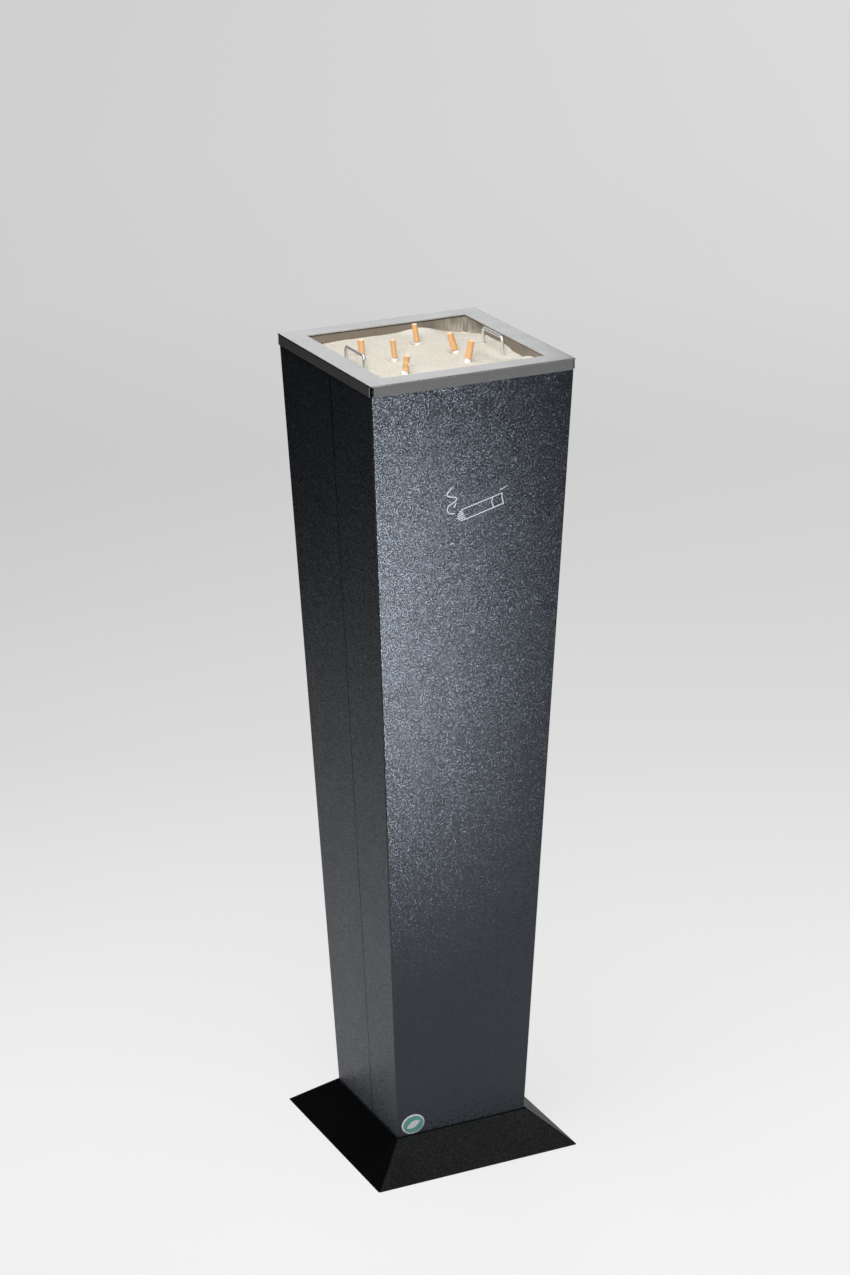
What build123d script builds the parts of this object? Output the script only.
"""Free-standing ashtray bin: a tapered sheet-steel column on a skirted foot, with a steel rim
frame, a lift-out sand tray and a sieve that lifts the cigarette ends out of the sand.

Millimetres, +Z up. The origin is on the floor, in the middle of the foot, and the front faces -Y.
"""
import os
from math import cos, radians, sin

from build123d import *

os.makedirs("parts", exist_ok=True)

# ---------------------------------------------------------------- driving dimensions
overall_height = 1010.0
seam_y = -15.0           # the two column shells meet in front of the middle of the side faces
seam_gap = 0.4

rim_side = 260.0
rim_sheet = 1.2
rim_lip = 13.0           # depth of the turned-down lips
rim_window = 207.0       # clear square over the sand
rim_bend = 1.6           # outer bend radius of the lips
rim_corner_relief = 4.0  # each lip stops this far from its corner
rim_corner_cut = 2.5     # chamfer on the corners of the top flange
rim_play = 0.4           # between the lips and the column

column_sheet = 1.5
column_bend = 2.0        # outer bend radius of the four upright edges
column_foot_side = 172.0
top_flange_window = 224.0
foot_flange_window = 124.0
mitre_gap = 0.8          # cut across each flange corner
mitre_overrun = 1.0      # so that each cut opens into the window

pad_height = 3.0
pad_diameter = 25.0
pad_spacing = 170.0

base_side = 235.0
base_thickness = 8.0
base_corner = 6.0
anchor_spacing = 200.0
anchor_hole = 11.0

screw_size = 8.0
screw_hole = 9.0
screw_head = 16.0
screw_head_depth = 4.4
screw_spacing_x = 90.0
screw_spacing_y = 146.0
screw_tip_proud = 1.0
nut_width = 13.0
nut_height = 6.5
thread_play = 0.05

strip_width = 40.0
strip_sheet = 1.5
strip_end_gap = 3.0

skirt_floor_side = 271.6
skirt_window = 178.0
skirt_land = 0.4         # narrow flat on the top edge, all round the window
skirt_height = 39.3
skirt_wall = 3.1         # measured level; the sheet itself is 2 mm
skirt_corner = 2.5

tray_pad_height = 1.5
tray_pad_diameter = 9.0
tray_pad_x = 180.0
tray_pad_y = 235.0
tray_sheet = 1.0
tray_inside = 210.4
tray_depth = 50.0
tray_brim_side = 244.0
tray_corner = 2.0

sieve_side = 198.0
sieve_sheet = 1.0
sieve_edge = 8.0         # height of the turned-down edges that it stands on
sieve_hole = 5.0
sieve_pitch = 10.0
sieve_holes_per_row = 18

handle_wire = 4.0
handle_width = 50.0      # between the middles of the legs
handle_x = 88.5
handle_rise = 4.5        # middle of the top bar above the rim
handle_bend = 5.0

sand_below_rim = 12.0
sand_play = 0.4          # round everything that stands in the sand

butt_diameter = 7.6
butt_paper_diameter = 7.2
filter_length = 22.0
# place on the sand, lean and its heading in degrees, height above the sand
butts = [
    (-62, 40, 3, 150, 17),
    (-39, -2, 6, 160, 24.5),
    (15, 50, 9, 150, 24),
    (-52, -57, 6, -30, 20.5),
    (38, -4, 16, 155, 24),
    (32, -47, 11, -20, 25.5),
]

mark_thickness = 0.15    # print and label stand this proud of the coat
mark_centre = (14.8, 847.0)
mark_tilt = 11.3
mark_length = 51.0
mark_width = 11.8
mark_stroke = 1.1
mark_corner = 3.0
mark_ember = 5.0
mark_band = 12.5         # from the mouth end of the cigarette
smoke_curl = [(-36, -2), (-40, 8), (-35.5, 17), (-40, 27)]  # from the middle of the cigarette
smoke_radius = 6.5
label_centre = (-66.5, 54.0)
label_width = 31.0
label_height = 26.5

# ---------------------------------------------------------------- worked out from them
column_foot = pad_height + base_thickness
brim_top = overall_height - rim_sheet
column_top = brim_top - tray_sheet - tray_pad_height
column_top_side = rim_side - 2 * rim_sheet - 2 * rim_play
column_slope = (column_top_side - column_foot_side) / 2 / (column_top - column_foot)
tray_floor = brim_top - tray_depth
sieve_top = tray_floor + sieve_edge
sand_top = overall_height - sand_below_rim


def column_half(height):
    """Half the column's outside width at a height"""
    return column_foot_side / 2 + (height - column_foot) * column_slope


def column_outline(height, inset, corner):
    """Level square section of the column, a sheet or so inside its outer face"""
    side = 2 * (column_half(height) - inset)
    with BuildSketch(Plane.XY.offset(height)) as outline:
        RectangleRounded(side, side, corner)
    return outline.sketch.face()


def square_outline(height, side, corner):
    """Level square with rounded corners"""
    with BuildSketch(Plane.XY.offset(height)) as outline:
        RectangleRounded(side, side, corner)
    return outline.sketch.face()


def front_face_plane(x, height):
    """Sketch plane lying on the sloping front face"""
    return Plane(
        origin=(x, -column_half(height), height),
        x_dir=(1, 0, 0),
        z_dir=(0, -1, -column_slope),
    )


def save(piece, name):
    """Label a finished piece and write its file"""
    piece.part.label = name
    export_step(piece.part, f"parts/{name}.step")


# ---------------------------------------------------------------- foot
with BuildPart() as foot_pads:
    with BuildSketch():
        with GridLocations(pad_spacing, pad_spacing, 2, 2):
            Circle(pad_diameter / 2)
    extrude(amount=pad_height)
save(foot_pads, "foot_pads")

with BuildPart() as base_plate:
    with BuildSketch(Plane.XY.offset(pad_height)):
        RectangleRounded(base_side, base_side, base_corner)
        with GridLocations(anchor_spacing, anchor_spacing, 2, 2):
            Circle(anchor_hole / 2, mode=Mode.SUBTRACT)
    extrude(amount=base_thickness)
    with Locations(Plane((0, 0, pad_height), x_dir=(1, 0, 0), z_dir=(0, 0, -1))):
        with GridLocations(screw_spacing_x, screw_spacing_y, 2, 2):
            CounterSinkHole(screw_hole / 2, screw_head / 2 + 0.2)
save(base_plate, "base_plate")

screw_tip = column_foot + column_sheet + nut_height + screw_tip_proud
with BuildPart() as foot_screws:
    with BuildSketch(Plane.XZ):
        with BuildLine():
            Polyline(
                (0, pad_height + 0.1),
                (screw_head / 2, pad_height + 0.1),
                (screw_size / 2, pad_height + screw_head_depth),
                (screw_size / 2, screw_tip - 1),
                (screw_size / 2 - 1, screw_tip),
                (0, screw_tip),
                close=True,
            )
        make_face()
    screw = revolve(axis=Axis.Z, mode=Mode.PRIVATE)
    with GridLocations(screw_spacing_x, screw_spacing_y, 2, 2):
        add(screw)
save(foot_screws, "foot_screws")

with BuildPart() as weld_nuts:
    with BuildSketch(Plane.XY.offset(column_foot + column_sheet)):
        with GridLocations(screw_spacing_x, screw_spacing_y, 2, 2):
            RegularPolygon(nut_width / 2, 6, major_radius=False)
            Circle(screw_size / 2 + thread_play, mode=Mode.SUBTRACT)
    extrude(amount=nut_height)
save(weld_nuts, "weld_nuts")

# ---------------------------------------------------------------- column
with BuildPart() as folded_column:
    loft([column_outline(column_foot, 0, column_bend), column_outline(column_top, 0, column_bend)])
    inner_foot = column_foot + column_sheet
    inner_top = column_top - column_sheet
    inner_bend = column_bend - column_sheet
    loft(
        [
            column_outline(inner_foot, column_sheet, inner_bend),
            column_outline(inner_top, column_sheet, inner_bend),
        ],
        mode=Mode.SUBTRACT,
    )
    # windows that leave the inward flanges
    with BuildSketch(Plane.XY.offset(column_top)):
        Rectangle(top_flange_window, top_flange_window)
    extrude(amount=-column_sheet, mode=Mode.SUBTRACT)
    with BuildSketch(Plane.XY.offset(column_foot)):
        Rectangle(foot_flange_window, foot_flange_window)
    extrude(amount=column_sheet, mode=Mode.SUBTRACT)
    # mitred flange corners, open as the folds leave them
    for height, window in ((column_top, top_flange_window), (inner_foot, foot_flange_window)):
        mitre_start = window / 2 - mitre_overrun
        mitre_end = column_half(height) - 2 * column_bend
        mitre_length = (mitre_end - mitre_start) * 2**0.5
        with BuildSketch(Plane.XY.offset(height)):
            with PolarLocations((mitre_start + mitre_end) / 2**0.5, 4, start_angle=45):
                Rectangle(mitre_length, mitre_gap)
        extrude(amount=-column_sheet, mode=Mode.SUBTRACT)
    # screw holes through the foot flange
    with BuildSketch(Plane.XY.offset(column_foot)):
        with GridLocations(screw_spacing_x, screw_spacing_y, 2, 2):
            Circle(screw_hole / 2)
    extrude(amount=column_sheet, mode=Mode.SUBTRACT)

with BuildPart() as front_shell:
    add(folded_column.part)
    split(bisect_by=Plane.XZ.offset(-seam_y + seam_gap / 2), keep=Keep.TOP)
save(front_shell, "front_shell")

with BuildPart() as rear_shell:
    add(folded_column.part)
    split(bisect_by=Plane.XZ.offset(-seam_y - seam_gap / 2), keep=Keep.BOTTOM)
save(rear_shell, "rear_shell")

for side, side_name in ((-1, "left"), (1, "right")):
    with BuildPart() as seam_strip:
        for height in (inner_foot + strip_end_gap, inner_top - strip_end_gap):
            strip_x = side * (column_half(height) - column_sheet - strip_sheet / 2 - 0.05)
            with BuildSketch(Plane.XY.offset(height)):
                with Locations((strip_x, seam_y)):
                    Rectangle(strip_sheet, strip_width)
        loft()
    save(seam_strip, f"seam_strip_{side_name}")

# ---------------------------------------------------------------- loose cover over the foot
with BuildPart() as skirt_cover:
    skirt_top_side = skirt_window + 2 * skirt_land
    loft(
        [
            square_outline(0, skirt_floor_side, skirt_corner),
            square_outline(skirt_height, skirt_top_side, skirt_corner),
        ]
    )
    loft(
        [
            square_outline(0, skirt_floor_side - 2 * skirt_wall, skirt_corner / 2),
            square_outline(skirt_height, skirt_top_side - 2 * skirt_wall, skirt_corner / 2),
        ],
        mode=Mode.SUBTRACT,
    )
    with BuildSketch():
        RectangleRounded(skirt_window, skirt_window, skirt_corner / 2)
    extrude(amount=skirt_height, mode=Mode.SUBTRACT)
save(skirt_cover, "skirt_cover")

# ---------------------------------------------------------------- sand tray
with BuildPart() as tray_pads:
    with BuildSketch(Plane.XY.offset(column_top)):
        with GridLocations(tray_pad_x, tray_pad_y, 2, 2):
            Circle(tray_pad_diameter / 2)
    extrude(amount=tray_pad_height)
save(tray_pads, "tray_pads")

with BuildPart() as sand_tray:
    with BuildSketch(Plane.XY.offset(brim_top - tray_sheet)):
        RectangleRounded(tray_brim_side, tray_brim_side, tray_corner)
    extrude(amount=tray_sheet)
    with BuildSketch(Plane.XY.offset(tray_floor - tray_sheet)):
        RectangleRounded(tray_inside + 2 * tray_sheet, tray_inside + 2 * tray_sheet, tray_corner)
    extrude(amount=tray_depth)
    with BuildSketch(Plane.XY.offset(tray_floor)):
        RectangleRounded(tray_inside, tray_inside, tray_corner - tray_sheet)
    extrude(amount=tray_depth, mode=Mode.SUBTRACT)
save(sand_tray, "sand_tray")

# ---------------------------------------------------------------- rim frame
with BuildPart() as rim_frame:
    lip_foot = overall_height - rim_lip
    with BuildSketch(Plane.XY.offset(lip_foot)):
        Rectangle(rim_side, rim_side)
    extrude(amount=rim_lip)
    fillet(rim_frame.faces().sort_by(Axis.Z)[-1].edges(), rim_bend)
    with BuildSketch(Plane.XY.offset(lip_foot)):
        Rectangle(rim_side - 2 * rim_sheet, rim_side - 2 * rim_sheet)
    extrude(amount=rim_lip - rim_sheet, mode=Mode.SUBTRACT)
    with BuildSketch(Plane.XY.offset(brim_top)):
        Rectangle(rim_window, rim_window)
    extrude(amount=rim_sheet, mode=Mode.SUBTRACT)
    # the lips stop short of the corners, and the top flange's corners are cut off
    with BuildSketch(Plane.XY.offset(lip_foot)):
        with GridLocations(rim_side, rim_side, 2, 2):
            Rectangle(2 * rim_corner_relief, 2 * rim_corner_relief)
    extrude(amount=rim_lip - rim_bend, mode=Mode.SUBTRACT)
    with BuildSketch(Plane.XY.offset(lip_foot)):
        with GridLocations(rim_side, rim_side, 2, 2):
            Rectangle(rim_corner_cut * 2**0.5, rim_corner_cut * 2**0.5, rotation=45)
    extrude(amount=rim_lip, mode=Mode.SUBTRACT)
save(rim_frame, "rim_frame")

# ---------------------------------------------------------------- sieve
with BuildPart() as sieve_plate:
    with BuildSketch(Plane.XY.offset(tray_floor)):
        RectangleRounded(sieve_side, sieve_side, tray_corner)
    extrude(amount=sieve_edge)
    with BuildSketch(Plane.XY.offset(tray_floor)):
        RectangleRounded(sieve_side - 2 * sieve_sheet, sieve_side - 2 * sieve_sheet, tray_corner / 2)
    extrude(amount=sieve_edge - sieve_sheet, mode=Mode.SUBTRACT)
    with BuildSketch(Plane.XY.offset(sieve_top)):
        with GridLocations(sieve_pitch, sieve_pitch, sieve_holes_per_row, sieve_holes_per_row):
            Circle(sieve_hole / 2)
    extrude(amount=-sieve_sheet, mode=Mode.SUBTRACT)
save(sieve_plate, "sieve_plate")

handle_top = overall_height + handle_rise
for side, side_name in ((-1, "left"), (1, "right")):
    with BuildPart() as sieve_handle:
        with BuildLine(Plane.YZ.offset(side * handle_x)):
            FilletPolyline(
                (-handle_width / 2, sieve_top),
                (-handle_width / 2, handle_top),
                (handle_width / 2, handle_top),
                (handle_width / 2, sieve_top),
                radius=handle_bend,
            )
        with BuildSketch(Plane((side * handle_x, -handle_width / 2, sieve_top))):
            Circle(handle_wire / 2)
        sweep()
    save(sieve_handle, f"sieve_handle_{side_name}")

# ---------------------------------------------------------------- cigarette ends and sand
def butt_stand(x, y, lean, heading):
    """Plane on the sand, square to a leaning cigarette end"""
    out = sin(radians(lean))
    return Plane(
        origin=(x, y, sand_top),
        z_dir=(out * cos(radians(heading)), out * sin(radians(heading)), cos(radians(lean))),
    )


buried = 2 * (sand_top - sieve_top)  # long enough to reach the sieve at any lean
for number, (x, y, lean, heading, height) in enumerate(butts, 1):
    tip_foot = butt_stand(x, y, lean, heading).offset(height - filter_length)
    with BuildPart() as butt_filter:
        with BuildSketch(tip_foot):
            Circle(butt_diameter / 2)
        extrude(amount=filter_length)
    save(butt_filter, f"butt_{number}_filter")
    with BuildPart() as butt_paper:
        with BuildSketch(tip_foot):
            Circle(butt_paper_diameter / 2)
        extrude(amount=-buried)
        split(bisect_by=Plane.XY.offset(sieve_top), keep=Keep.TOP)
    save(butt_paper, f"butt_{number}_paper")

with BuildPart() as sand_fill:
    sand_side = tray_inside - 2 * sand_play
    with BuildSketch(Plane.XY.offset(tray_floor + sand_play)):
        Rectangle(sand_side, sand_side)
    extrude(amount=sand_top - tray_floor - sand_play)
    # room for the sieve; the little sand below its plate is left out
    with BuildSketch(Plane.XY.offset(tray_floor)):
        Rectangle(sieve_side + 2 * sand_play, sieve_side + 2 * sand_play)
    extrude(amount=sieve_edge + sand_play, mode=Mode.SUBTRACT)
    with BuildSketch(Plane.XY.offset(sieve_top)):
        with GridLocations(2 * handle_x, handle_width, 2, 2):
            Circle(handle_wire / 2 + sand_play)
    extrude(amount=sand_top - sieve_top, mode=Mode.SUBTRACT)
    for x, y, lean, heading, height in butts:
        with BuildSketch(butt_stand(x, y, lean, heading)):
            Circle(butt_diameter / 2 + sand_play)
        extrude(amount=buried, both=True, mode=Mode.SUBTRACT)
save(sand_fill, "sand_fill")

# ---------------------------------------------------------------- print and label on the front
with BuildPart() as pictogram:
    with BuildSketch(front_face_plane(*mark_centre)):
        # cigarette outline with its filter band and its glowing end
        with Locations(Location((0, 0, 0), mark_tilt)):
            RectangleRounded(mark_length, mark_width, mark_corner)
            RectangleRounded(
                mark_length - 2 * mark_stroke,
                mark_width - 2 * mark_stroke,
                mark_corner - mark_stroke,
                mode=Mode.SUBTRACT,
            )
            with Locations((mark_length / 2 - mark_band, 0)):
                Rectangle(mark_stroke, mark_width - mark_stroke)
            with Locations((-mark_length / 2 - mark_ember / 2, 0)):
                RectangleRounded(mark_ember, mark_width - 2 * mark_stroke, mark_stroke)
    with BuildSketch(front_face_plane(*mark_centre)):
        with BuildLine():
            for start, end, bow in zip(smoke_curl, smoke_curl[1:], (1, -1, 1)):
                RadiusArc(start, end, bow * smoke_radius)
        trace(line_width=mark_stroke)
    extrude(amount=mark_thickness)
save(pictogram, "pictogram")

with BuildPart() as maker_label:
    with BuildSketch(front_face_plane(*label_centre)):
        Ellipse(label_width / 2, label_height / 2)
    extrude(amount=mark_thickness)
save(maker_label, "maker_label")
